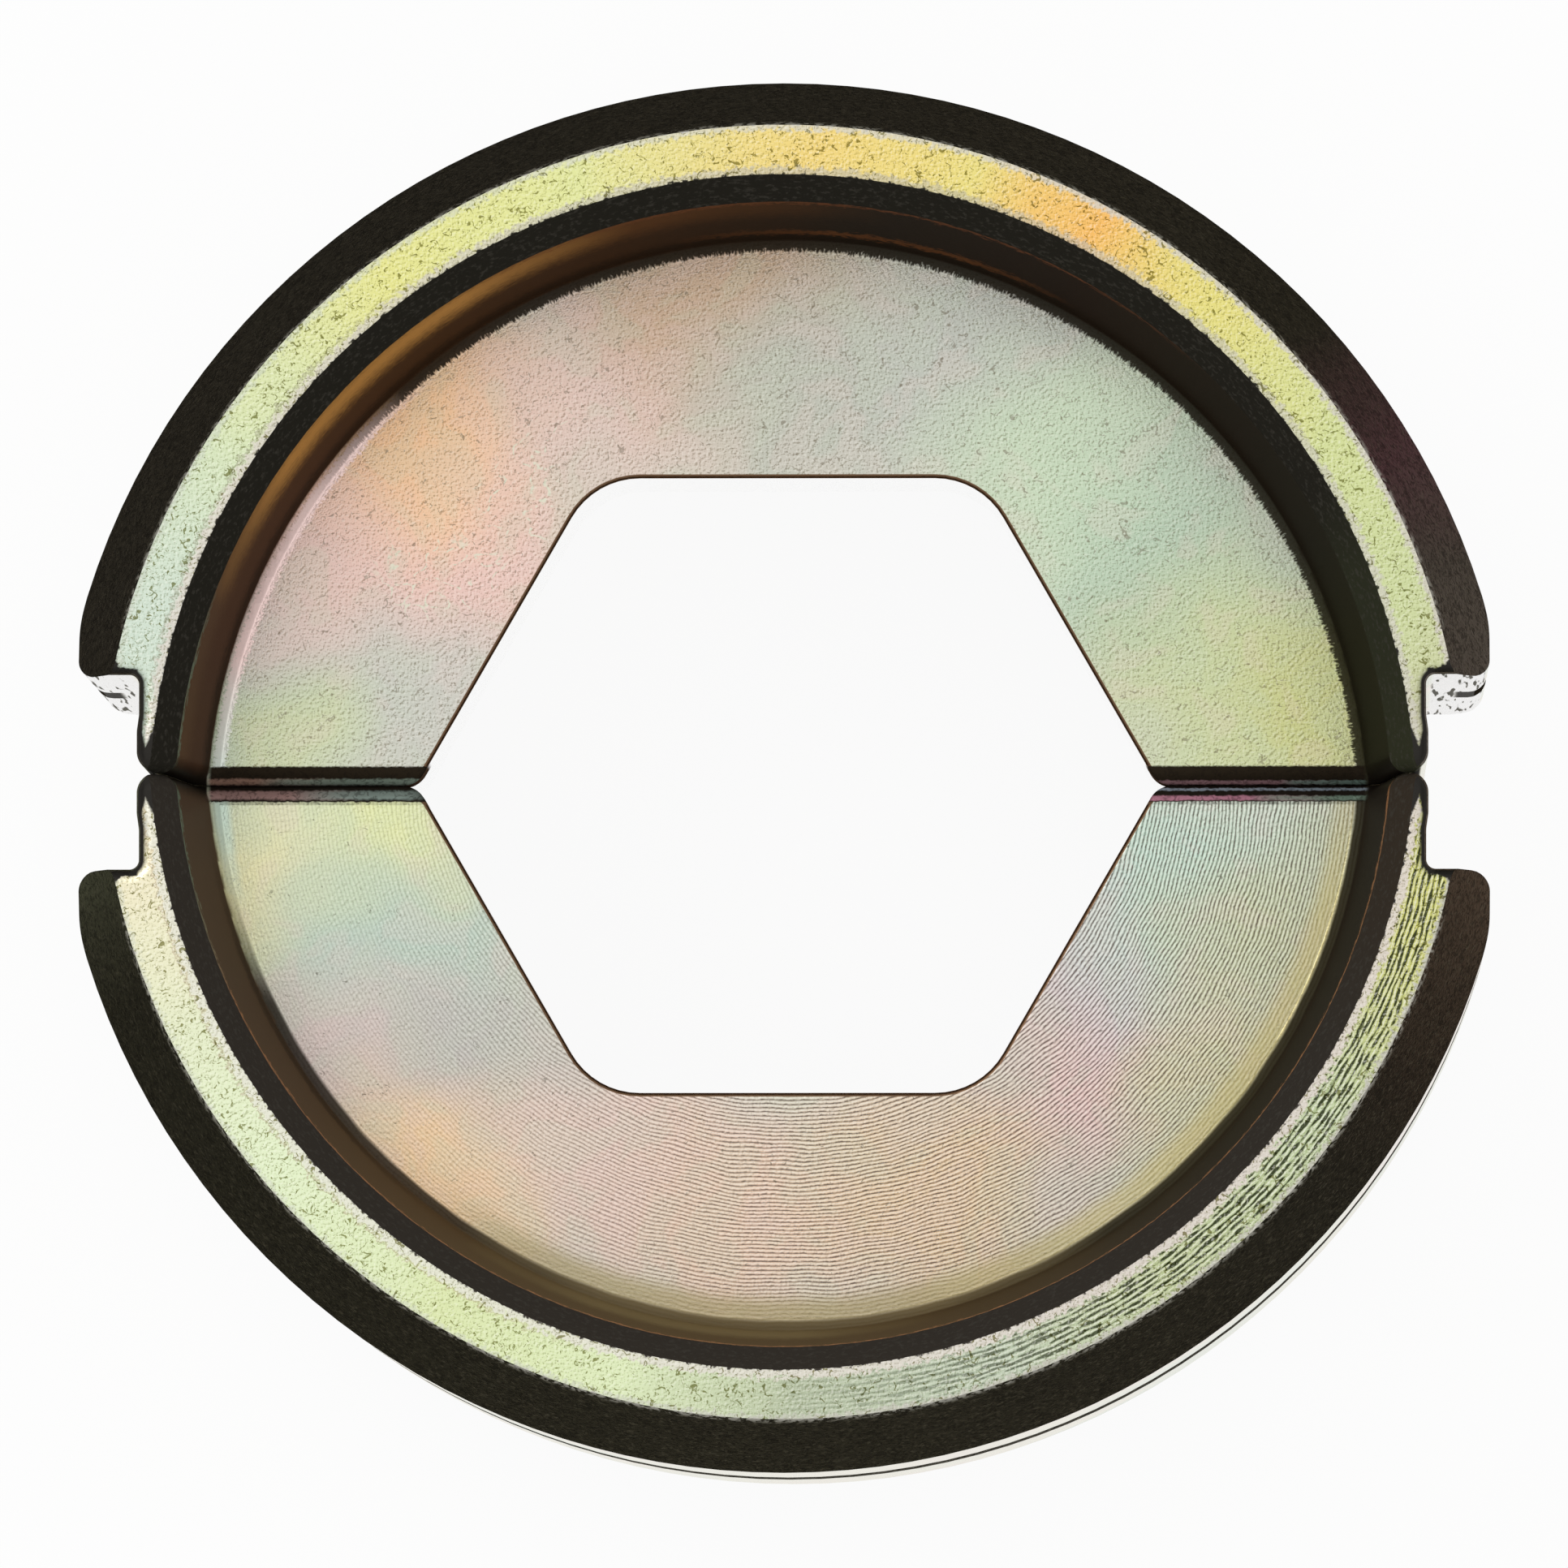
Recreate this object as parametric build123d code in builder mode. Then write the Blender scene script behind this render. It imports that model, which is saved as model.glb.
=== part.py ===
"""A two-piece crimping die for hexagonal crimps, closed and lying flat on one face.

Each half is a half wheel: a wide rim with a thinner web across it. The rim seats in
the round nest of a hydraulic crimping head. A slot round the outside takes the
head's retaining pin. The web carries one half of the hexagon that shapes the barrel
of a cable lug. At each end the rim steps in to a narrow neck, which clears the ends
of the nest. The two halves are alike, and they meet at y = 0.

The crimping axis is +Z, and the halves close along Y. The die rests on z = 0.
All sizes are millimetres.
"""

import os
from math import radians, tan

from build123d import *

# Rim, from the outside in
width = 28.0
outer_radius = 23.0
outer_bevel_width = 1.6
outer_bevel_depth = 4.3
face_width = 1.55
inner_bevel_width = 0.75
inner_bevel_depth = 1.8
centre_beyond_parting = 1.1

# Slot for the retaining pin
slot_width = 3.7
slot_depth = 0.8

# Web, and the wall that rises from it to the rim
web_thickness = 8.0
wall_draft_angle = 5.0
wall_root_round = 0.4
parting_edge_round = 0.6

# Hexagon, of which each half has three sides
hexagon_height = 19.5
hexagon_parting_width = 23.5
hexagon_side_angle = 60.0
hexagon_corner_round = 2.5
hexagon_mouth_round = 0.8
hexagon_edge_round = 0.15

# Ends of the rim
side_flat_inset = 0.8
side_flat_top = 4.85
side_lean_angle = 15.0
side_blend = 4.0
shoulder_round = 0.6
step_height = 3.05
step_root_round = 0.3
neck_wall = 1.15
neck_relief = 0.07
relief_slope_height = 0.5
relief_blend = 1.0
tip_land_height = 1.3
tip_round = 0.65
face_end_round = 0.45

# How far a cutting outline runs on past the metal
overrun = 3.0

# Places that follow from the sizes
face_outer_radius = outer_radius - outer_bevel_width
face_inner_radius = face_outer_radius - face_width
bore_radius = face_inner_radius - inner_bevel_width
recess_depth = (width - web_thickness) / 2
wall_height = recess_depth - inner_bevel_depth
wall_root_radius = bore_radius - wall_height * tan(radians(wall_draft_angle))
side_flat_x = outer_radius - side_flat_inset
neck_x = bore_radius + neck_wall


def wheel_section():
    """Radial section of the rim and web, with x as the radius and y as the height."""
    with BuildSketch(Plane.XZ.offset(centre_beyond_parting)) as section:
        with BuildLine():
            FilletPolyline(
                (0, recess_depth),
                (wall_root_radius, recess_depth),
                (bore_radius, inner_bevel_depth),
                (face_inner_radius, 0),
                (face_outer_radius, 0),
                (outer_radius, outer_bevel_depth),
                (outer_radius, width / 2),
                radius=[wall_root_round, 0, 0, 0, 0],
            )
            mirror(about=Plane.XZ.offset(-width / 2))
            Line((0, recess_depth), (0, width - recess_depth))
        make_face()
        with Locations((outer_radius, width / 2)):
            Rectangle(2 * slot_depth, slot_width, mode=Mode.SUBTRACT)
    return section.sketch


def ends_outline():
    """What is cut away beyond the side flat, the step and the neck at both ends."""
    relief_x = neck_x - neck_relief
    clear_x = outer_radius + overrun
    leaning_x = side_flat_x - (outer_radius - side_flat_top) * tan(radians(side_lean_angle))
    with BuildSketch() as outline:
        with BuildLine():
            FilletPolyline(
                (leaning_x, outer_radius),
                (side_flat_x, side_flat_top),
                (side_flat_x, step_height),
                (relief_x, step_height),
                (relief_x, tip_land_height + relief_slope_height),
                (neck_x, tip_land_height),
                (neck_x, 0),
                (neck_x - overrun, 0),
                radius=[
                    side_blend,
                    shoulder_round,
                    step_root_round,
                    relief_blend,
                    relief_blend,
                    tip_round,
                ],
            )
            Polyline(
                (neck_x - overrun, 0),
                (neck_x - overrun, -overrun),
                (clear_x, -overrun),
                (clear_x, outer_radius),
                (leaning_x, outer_radius),
            )
        make_face()
        mirror(about=Plane.YZ)
    return outline.sketch


def hexagon_outline():
    """The upper half of the hexagon, rounded at its corners and at its mouth."""
    mouth_x = hexagon_parting_width / 2
    top_y = hexagon_height / 2
    top_x = mouth_x - top_y / tan(radians(hexagon_side_angle))
    lip_x = mouth_x + overrun
    with BuildSketch() as outline:
        with BuildLine():
            FilletPolyline(
                (lip_x, 0),
                (mouth_x, 0),
                (top_x, top_y),
                (-top_x, top_y),
                (-mouth_x, 0),
                (-lip_x, 0),
                radius=[
                    hexagon_mouth_round,
                    hexagon_corner_round,
                    hexagon_corner_round,
                    hexagon_mouth_round,
                ],
            )
            Polyline((-lip_x, 0), (-lip_x, -overrun), (lip_x, -overrun), (lip_x, 0))
        make_face()
    return outline.sketch


def parting_edges(half):
    """The outline of the parting face, apart from the slot's part of it."""
    slot_floor_radius = outer_radius - slot_depth
    outline = half.faces().filter_by(Axis.Y).sort_by(Axis.Y)[0].edges()
    return outline.filter_by(
        lambda edge: abs(edge.center().X) < slot_floor_radius - slot_depth
        or abs(edge.center().Z - width / 2) > slot_width / 2 + slot_depth
    )


def face_end_edges(half):
    """The ends of the rim's two flat faces: steps, necks and tips, but not the long arcs."""
    flat_faces = half.faces().filter_by(Axis.Z).group_by(Axis.Z)
    edges = flat_faces[0].edges() + flat_faces[-1].edges()
    return edges.filter_by(lambda edge: edge.length < face_inner_radius)


def hexagon_edges(half):
    """The edges where the hexagon comes out through the two faces of the web."""
    web_faces = half.faces().filter_by(Axis.Z).group_by(Axis.Z)[1:-1]
    edges = web_faces[0].edges() + web_faces[-1].edges()
    return edges.filter_by(
        lambda edge: abs(edge.center().X) < hexagon_parting_width / 2
        and edge.center().Y < hexagon_height
    )


with BuildPart() as upper_die_half:
    revolve(wheel_section(), axis=Axis((0, -centre_beyond_parting, 0), (0, 0, 1)))
    split(bisect_by=Plane.ZX)
    fillet(parting_edges(upper_die_half), parting_edge_round)
    extrude(ends_outline(), amount=width, dir=(0, 0, 1), mode=Mode.SUBTRACT)
    extrude(hexagon_outline(), amount=width, dir=(0, 0, 1), mode=Mode.SUBTRACT)
    fillet(face_end_edges(upper_die_half), face_end_round)
    fillet(hexagon_edges(upper_die_half), hexagon_edge_round)

with BuildPart() as lower_die_half:
    add(upper_die_half.part, rotation=(0, 0, 180))

os.makedirs("parts", exist_ok=True)
upper_die_half.part.label = "upper_die_half"
lower_die_half.part.label = "lower_die_half"
export_step(upper_die_half.part, "parts/upper_die_half.step")
export_step(lower_die_half.part, "parts/lower_die_half.step")
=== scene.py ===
"""Looks of a two-piece crimping die: yellow iridescent plating over cast and turned steel.

The die lies on a pale floor and the camera looks down on it. Both halves keep their CAD
nodes, and their plating is made here. It is worked out from places on the die: the radius
about each half's own centre, the height above or below the die's middle plane, and the
slope of the surface. The lower half is described turned half round, as it is built, so
that its parting line is at y = 0 with the metal above it, like the upper half's. Much of
the colour is painted light: the dark wall, bevels, rounded edges and parting edge are
painted shade and painted dark reflection in place of the yellow plating, and the pale
borders, glints and the grain's lit and shaded sides are painted highlight and shade.
"""
from math import pi

import bpy
from mathutils import Matrix, Vector

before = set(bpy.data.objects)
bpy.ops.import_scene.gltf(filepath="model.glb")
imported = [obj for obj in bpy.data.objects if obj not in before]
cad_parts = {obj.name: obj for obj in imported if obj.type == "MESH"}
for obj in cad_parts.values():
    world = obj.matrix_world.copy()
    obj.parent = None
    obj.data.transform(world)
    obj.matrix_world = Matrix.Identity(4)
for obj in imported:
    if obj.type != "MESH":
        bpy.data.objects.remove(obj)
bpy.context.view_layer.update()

MM = 0.001

# Sizes of the die that the plating follows, in millimetres
CENTRE_BEYOND_PARTING = 1.1
MIDDLE_HEIGHT = 14.0
FACE_OUTER_RADIUS = 21.4
FACE_INNER_RADIUS = 19.85
WALL_ROOT_RADIUS = 18.38
WEB_HEIGHT = 4.0
WALL_TOP_HEIGHT = 12.2
SLOT_HALF_WIDTH = 1.85
PARTING_ROUND = 0.6
NECK_TIP_ROUND = 0.85
NECK_TIP_RADIUS = 20.05
SHOULDER_Y = 3.05
NECK_X = 20.2
MOUTH_X = 12.6

# Where one surface gives way to the next, from start to end: radii
HEXAGON_EDGE_RADII = (17.0, 17.4)
HEXAGON_SIDE_RADII = (17.2, 17.4)
WEB_EDGE_RADII = (17.9, 18.0)
WALL_ROOT_RADII = (18.0, 18.1)
WALL_FOOT_RADII = (WALL_ROOT_RADIUS + 0.02, WALL_ROOT_RADIUS + 0.10)
PARTING_END_RADII = (18.3, 18.5)
FACE_START_RADII = (FACE_INNER_RADIUS + 0.15, FACE_INNER_RADIUS + 0.25)
SLOT_RADII = (21.5, 21.7)

# The same for heights above or below the middle plane
WEB_HEIGHTS = (WEB_HEIGHT + 0.15, WEB_HEIGHT + 0.35)
MOUTH_LINE_HEIGHTS = (WEB_HEIGHT - 2.1, WEB_HEIGHT - 1.9)
PARTING_HEIGHTS = (4.8, 5.2)
WALL_TOP_HEIGHTS = (WALL_TOP_HEIGHT - 0.03, WALL_TOP_HEIGHT + 0.03)
ROUNDED_HEIGHTS = (13.0, 13.2)
FACE_HEIGHTS = (13.7, 13.9)
SLOT_HEIGHTS = (SLOT_HALF_WIDTH + 0.02, SLOT_HALF_WIDTH + 0.06)

# The same for slopes, which go from 0 for upright to 1 for level
UPRIGHT_SLOPES = (0.03, 0.08)
STEEP_SLOPES = (0.10, 0.16)
STEP_SLOPES = (0.2, 0.3)
BEVEL_SLOPES = (0.30, 0.43)
ROUNDED_SLOPES = (0.43, 0.50)
FACE_SLOPES = (0.72, 0.88)
WEB_SLOPES = (0.97, 0.995)

# The same for the distance from the parting line
AT_PARTING_Y = (0.0, 0.02)
MOUTH_LINE_Y = (0.55, 0.75)
PARTING_EDGE_Y = (PARTING_ROUND, PARTING_ROUND + 0.04)

# Gloss and bumps of the plating
BRIGHT_ROUGHNESS = 0.30
DIM_ROUGHNESS = 0.34
SIDE_ROUGHNESS = 0.16
HEXAGON_ROUGHNESS = 0.05
PAINTED_METALLIC = 0.15
BUMP_STRENGTH = 0.25
BUMP_DISTANCE = 0.00004
BRIGHT_EDGE = (1.0, 1.0, 1.0, 1.0)
DIM_EDGE = (0.40, 0.40, 0.40, 1.0)
NO_EDGE = (0.0, 0.0, 0.0, 1.0)

# Camera and lamp, in millimetres and watts
CAMERA_PLACE = Vector((14.0, -37.7, 875.0))
CAMERA_AIM = Vector((0.06, -0.4, 28.0))
CAMERA_LENS = 621.4
CAMERA_SENSOR = 36.0
LAMP_PLACE = Vector((-260, 260, 520))
LAMP_SIZE = 300
LAMP_POWER = 0.5

# Floor: half its width in metres, its grey, and how white it looks to the camera
FLOOR_HALF = 3.0
FLOOR_GREY = (0.9, 0.9, 0.9, 1.0)
FLOOR_WHITENESS = 0.93
WHITE = (1.0, 1.0, 1.0, 1.0)


def paint(red, green, blue):
    """A linear colour for a screen colour given as 0 to 255."""
    def linear(value):
        share = value / 255
        return share / 12.92 if share <= 0.04045 else ((share + 0.055) / 1.055) ** 2.4

    return (linear(red), linear(green), linear(blue), 1.0)


def paler(colour, strength):
    """The colour with a strength in place of its opacity."""
    return (*colour[:3], strength)


class Graph:
    """Adds shader nodes to a node tree. Any input may be a socket, a number or a colour."""

    def __init__(self, tree):
        self.tree = tree
        tree.nodes.clear()

    def put(self, socket, value):
        if isinstance(value, bpy.types.NodeSocket):
            self.tree.links.new(value, socket)
        else:
            socket.default_value = value

    def add(self, kind, inputs=None, **settings):
        node = self.tree.nodes.new(kind)
        for name, value in settings.items():
            setattr(node, name, value)
        for key, value in (inputs or {}).items():
            self.put(node.inputs[key], value)
        return node

    def math(self, operation, first, second=0.0):
        inputs = {0: first, 1: second}
        return self.add("ShaderNodeMath", inputs, operation=operation).outputs[0]

    def plus(self, first, second):
        return self.math("ADD", first, second)

    def minus(self, first, second):
        return self.math("SUBTRACT", first, second)

    def times(self, *values):
        product = values[0]
        for value in values[1:]:
            product = self.math("MULTIPLY", product, value)
        return product

    def most(self, *values):
        largest = values[0]
        for value in values[1:]:
            largest = self.math("MAXIMUM", largest, value)
        return largest

    def size(self, value):
        return self.math("ABSOLUTE", value)

    def rise(self, value, start, end, low=0.0, high=1.0):
        """Goes smoothly from low to high as the value goes from start to end."""
        inputs = {0: value, 1: start, 2: end, 3: low, 4: high}
        node = self.add("ShaderNodeMapRange", inputs, interpolation_type="SMOOTHSTEP")
        return node.outputs[0]

    def fall(self, value, start, end, high=1.0):
        """Goes smoothly from high to nothing as the value goes from start to end."""
        return self.rise(value, start, end, high, 0.0)

    def band(self, value, low, high, soft):
        """One where the value is between low and high, with soft ends."""
        above = self.rise(value, low - soft, low + soft)
        return self.times(above, self.fall(value, high - soft, high + soft))

    def wave(self, value, pitch):
        """A sine of the value, from -1 to 1."""
        return self.math("SINE", self.times(value, 2 * pi / pitch))

    def mix(self, share, first, second, blend="MIX"):
        node = self.add("ShaderNodeMix", data_type="RGBA", blend_type=blend)
        self.put(node.inputs["Factor"], share)
        self.put(node.inputs[6], first)
        self.put(node.inputs[7], second)
        return node.outputs[2]

    def blend(self, share, first, second):
        node = self.add("ShaderNodeMix", data_type="FLOAT")
        self.put(node.inputs["Factor"], share)
        self.put(node.inputs[2], first)
        self.put(node.inputs[3], second)
        return node.outputs[0]

    def ramp(self, share, stops):
        """The colour, and its strength, at a share from 0 to 1 between stops."""
        node = self.add("ShaderNodeValToRGB", {0: share})
        elements = node.color_ramp.elements
        elements.remove(elements[1])
        elements[0].position, elements[0].color = stops[0]
        for place, colour in stops[1:]:
            elements.new(place).color = colour
        return node.outputs

    def join(self, x, y, z):
        return self.add("ShaderNodeCombineXYZ", {0: x, 1: y, 2: z}).outputs[0]

    def split(self, vector):
        return self.add("ShaderNodeSeparateXYZ", {0: vector}).outputs

    def vector(self, operation, first, second, output=0):
        inputs = {0: first, 1: second}
        return self.add("ShaderNodeVectorMath", inputs, operation=operation).outputs[output]

    def noise(self, point, scale, detail=0.0, shift=0.0, twist=0.0):
        """Noise from 0 to 1, mostly near one half. The scale is features to a millimetre."""
        moved = self.vector("ADD", point, (shift, 2 * shift, 3 * shift))
        inputs = {"Vector": moved, "Scale": scale, "Detail": detail, "Roughness": 0.6}
        inputs["Distortion"] = twist
        return self.add("ShaderNodeTexNoise", inputs)

    def grain(self, point, scale, detail=0.0, shift=0.0, twist=0.0):
        return self.noise(point, scale, detail, shift, twist).outputs["Fac"]

    def relief(self, point, towards_light, scale):
        """Bumpy skin: its height, and how it faces a light, above 0 towards and below 0 away."""
        beside = self.vector("ADD", point, towards_light)
        here = self.grain(point, scale, 2.0)
        return here, self.minus(here, self.grain(beside, scale, 2.0))


class Places:
    """Where a point of a die half is, in millimetres and in the half's own terms.

    The share goes from 0 to 1 round the half, from its +x end. The grain that several
    surfaces share is here too. Everything is a socket.
    """

    def __init__(self, graph, turn):
        coordinates = graph.add("ShaderNodeTexCoord").outputs
        turned = (turn / MM, turn / MM, 1 / MM)
        point = graph.vector("MULTIPLY", coordinates["Object"], turned)
        self.x, self.y, z = graph.split(point)
        self.lift = graph.minus(z, MIDDLE_HEIGHT)
        self.height = graph.size(self.lift)
        self.flatness = graph.size(graph.split(coordinates["Normal"])[2])
        reach = graph.plus(self.y, CENTRE_BEYOND_PARTING)
        squares = graph.plus(graph.times(self.x, self.x), graph.times(reach, reach))
        self.radius = graph.math("SQRT", squares)
        angle = graph.math("ARCTAN2", reach, self.x)
        around = graph.times(angle, FACE_INNER_RADIUS)
        seed = 11.0 * turn
        self.point = graph.vector("ADD", point, (0.0, 0.0, seed))
        polar = graph.join(self.radius, around, graph.plus(z, seed))
        self.streaks = graph.vector("MULTIPLY", polar, (1.0, 0.35, 1.0))
        self.combed = graph.vector("MULTIPLY", polar, (0.45, 1.0, 1.0))
        plan = graph.join(self.x, self.y, seed)
        wander = graph.noise(plan, 0.22, 1.0).outputs["Color"]
        drift = graph.vector("SUBTRACT", wander, (0.5, 0.5, 0.5))
        drift = graph.vector("MULTIPLY", drift, (5.0, 5.0, 0.0))
        self.plan = graph.vector("ADD", graph.join(self.x, self.y, 0.0), drift)
        bent = graph.times(graph.split(drift)[0], 0.012)
        self.share = graph.plus(graph.times(angle, 1 / pi), bent)
        # A fixed light direction, towards -x and +y of the scene, for the painted shade and
        # highlight of the grain
        towards_light = (-0.035 * turn, 0.035 * turn, 0.0)
        self.bumps, self.relief = graph.relief(self.point, towards_light, 9.0)
        self.speck = graph.grain(self.streaks, 7.0, 1.0, 2.0)
        self.fuzz = graph.minus(graph.grain(self.point, 5.0, 2.0, 19.0), 0.5)
        self.squiggle = graph.grain(self.point, 4.2, 2.0, 13.0, 1.6)
        self.cloud = graph.grain(self.plan, 0.8, 1.0, 31.0)

    def apart(self, graph, x, y):
        """How far along the die a point is from a place, with an uneven edge."""
        return graph.vector("DISTANCE", self.plan, (x, y, 0.0), 1)


# Broad tints of the plating: place x, y on the half in its own terms, reach, strength, colour
UPPER_WEB_TINTS = (
    (-16.8, 2.5, 5.5, 0.90, paint(196, 208, 186)),
    (-15.5, 6.5, 4.5, 0.85, paint(216, 202, 196)),
    (-12.0, 8.5, 6.5, 0.95, paint(236, 200, 188)),
    (-11.2, 11.4, 5.0, 0.95, paint(246, 202, 158)),
    (-9.0, 6.5, 4.5, 0.75, paint(234, 198, 188)),
    (-5.5, 12.5, 5.0, 0.80, paint(226, 196, 186)),
    (-2.0, 16.0, 6.0, 0.85, paint(204, 172, 144)),
    (0.5, 12.0, 4.5, 0.85, paint(190, 192, 180)),
    (5.5, 13.5, 6.0, 0.85, paint(192, 195, 186)),
    (9.0, 9.5, 5.5, 0.90, paint(202, 220, 190)),
    (12.5, 7.0, 5.5, 0.80, paint(178, 200, 178)),
    (14.5, 3.0, 6.0, 0.85, paint(204, 212, 160)),
    (17.0, 2.0, 3.5, 0.80, paint(204, 206, 138)),
    (-11.5, 2.5, 4.0, 0.75, paint(202, 202, 194)),
    (-15.6, 0.8, 2.8, 0.75, paint(210, 216, 172)),
)
LOWER_WEB_TINTS = (
    (16.5, 1.3, 4.5, 0.90, paint(216, 226, 190)),
    (17.0, 4.0, 4.0, 0.90, paint(246, 236, 180)),
    (12.6, 5.0, 5.5, 0.90, paint(188, 208, 194)),
    (12.5, 0.8, 3.6, 0.90, paint(232, 236, 172)),
    (13.5, 8.5, 3.8, 0.85, paint(216, 196, 190)),
    (9.8, 9.0, 4.0, 0.85, paint(194, 188, 184)),
    (10.6, 12.5, 4.5, 0.95, paint(242, 206, 162)),
    (5.0, 12.0, 5.0, 0.90, paint(230, 200, 188)),
    (0.5, 14.0, 6.0, 0.92, paint(234, 200, 174)),
    (-5.0, 13.0, 5.0, 0.92, paint(230, 196, 154)),
    (-9.2, 9.0, 4.8, 0.95, paint(228, 190, 186)),
    (-10.8, 5.0, 4.2, 0.90, paint(212, 198, 204)),
    (-13.2, 3.0, 4.8, 0.92, paint(188, 220, 204)),
    (-16.0, 5.0, 4.5, 0.85, paint(198, 202, 158)),
    (-14.0, 10.5, 4.5, 0.85, paint(206, 202, 152)),
)

# Colours round the half: degrees from its +x end in its own terms, colour
UPPER_RING_COLOURS = (
    (8, paint(202, 200, 168)),
    (18, paint(206, 216, 162)),
    (35, paint(212, 220, 156)),
    (51, paint(230, 220, 132)),
    (62, paint(246, 190, 106)),
    (75, paint(234, 220, 134)),
    (89, paint(240, 212, 128)),
    (108, paint(224, 228, 160)),
    (128, paint(228, 226, 146)),
    (146, paint(214, 226, 186)),
    (163, paint(208, 222, 206)),
)
LOWER_RING_COLOURS = (
    (13, paint(240, 232, 200)),
    (27, paint(228, 234, 200)),
    (42, paint(226, 238, 200)),
    (60, paint(220, 230, 176)),
    (76, paint(222, 234, 190)),
    (90, paint(186, 196, 168)),
    (109, paint(190, 202, 178)),
    (126, paint(190, 200, 152)),
    (144, paint(190, 204, 160)),
    (163, paint(208, 208, 122)),
)
# Painted shade and painted dark reflection: the wall's dark browns stand in place of the yellow
# plating
UPPER_WALL_PAINTED_SHADE = (
    (10, paint(44, 43, 30)),
    (29, paint(43, 38, 30)),
    (57, paint(48, 36, 28)),
    (84, paint(50, 42, 34)),
    (108, paint(74, 51, 33)),
    (128, paint(84, 58, 36)),
    (150, paint(92, 64, 44)),
    (170, paint(92, 66, 50)),
)
LOWER_WALL_PAINTED_SHADE = (
    (11, paint(95, 77, 61)),
    (38, paint(102, 82, 59)),
    (72, paint(110, 92, 63)),
    (99, paint(104, 86, 59)),
    (128, paint(65, 57, 43)),
    (164, paint(56, 49, 40)),
)
# Painted dark reflection: the outer bevel's dark greys stand in place of the yellow plating
UPPER_OUTER_BEVEL_PAINTED_REFLECTION = (
    (9, paint(134, 127, 120)),
    (18, paint(128, 121, 114)),
    (30, paint(132, 111, 112)),
    (44, paint(102, 98, 88)),
    (158, paint(101, 97, 89)),
)
LOWER_OUTER_BEVEL_PAINTED_REFLECTION = (
    (9, paint(123, 124, 109)),
    (22, paint(94, 92, 82)),
    (140, paint(90, 87, 79)),
    (153, paint(97, 90, 82)),
    (168, paint(121, 110, 100)),
)
# Painted dark reflection: the inner bevel's charcoal stands in place of the yellow plating
UPPER_INNER_BEVEL_PAINTED_REFLECTION = (
    (8, paint(61, 63, 47)),
    (20, paint(58, 60, 46)),
    (32, paint(48, 46, 40)),
)
LOWER_INNER_BEVEL_PAINTED_REFLECTION = (
    (150, paint(66, 61, 55)),
    (168, paint(68, 60, 51)),
)

# Borders round the half: from, to, softness, and stops of degrees, strength, colour.
# On the web and the face the borders follow the radius, and on the wall the height.
# Painted light at the web's edge: pale and olive borders are painted highlight and reflection on
# the root fillet, dark borders painted shade at the wall's foot
UPPER_WEB_EDGE_PAINTED_LIGHT = (
    (17.90, 18.29, 0.05, (
        (128, 0.00, paint(255, 226, 220)),
        (140, 0.95, paint(255, 226, 220)),
        (165, 0.95, paint(255, 226, 220)),
        (175, 0.90, paint(228, 240, 230)),
    )),
    (18.07, 18.70, 0.07, (
        (5, 0.95, paint(50, 47, 32)),
        (45, 0.97, paint(46, 41, 32)),
        (132, 0.97, paint(46, 38, 29)),
        (148, 0.00, paint(46, 38, 29)),
    )),
)
LOWER_WEB_EDGE_PAINTED_LIGHT = (
    (17.80, 18.30, 0.15, (
        (8, 0.70, paint(206, 230, 218)),
        (17, 0.00, paint(206, 230, 218)),
    )),
    (17.42, 18.50, 0.35, (
        (50, 0.00, paint(178, 164, 122)),
        (66, 0.75, paint(178, 164, 122)),
        (104, 0.75, paint(178, 164, 122)),
        (125, 0.62, paint(208, 194, 134)),
        (165, 0.62, paint(208, 194, 134)),
        (178, 0.20, paint(208, 194, 134)),
    )),
    (18.09, 18.70, 0.07, (
        (15, 0.00, paint(50, 43, 34)),
        (25, 0.92, paint(50, 43, 34)),
        (55, 0.92, paint(50, 43, 34)),
        (72, 0.90, paint(112, 97, 68)),
        (105, 0.90, paint(112, 97, 68)),
        (125, 0.95, paint(50, 45, 34)),
    )),
)
# Painted highlight: the pale uneven borders along the ring's edges, with a faint darker line
# inside
UPPER_RING_EDGE_PAINTED_LIGHT = (
    (19.70, 20.08, 0.07, (
        (20, 0.75, paint(206, 202, 190)),
        (75, 0.60, paint(180, 176, 160)),
        (125, 0.80, paint(206, 200, 188)),
        (150, 0.85, paint(216, 208, 198)),
    )),
    (20.12, 20.20, 0.03, (
        (118, 0.00, paint(150, 146, 122)),
        (140, 0.55, paint(150, 146, 122)),
    )),
    (21.23, 21.60, 0.08, (
        (30, 0.85, paint(208, 202, 192)),
        (88, 0.75, paint(210, 208, 198)),
        (140, 0.55, paint(200, 206, 190)),
    )),
)
LOWER_RING_EDGE_PAINTED_LIGHT = (
    (19.70, 20.12, 0.05, (
        (60, 0.85, paint(228, 226, 212)),
        (120, 0.92, paint(220, 210, 202)),
    )),
    (20.14, 20.21, 0.02, (
        (62, 0.50, paint(170, 146, 120)),
        (75, 0.00, paint(170, 146, 120)),
    )),
    (21.27, 21.60, 0.06, (
        (60, 0.50, paint(206, 210, 194)),
        (100, 0.85, paint(196, 194, 182)),
        (130, 0.92, paint(196, 194, 182)),
    )),
)
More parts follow.
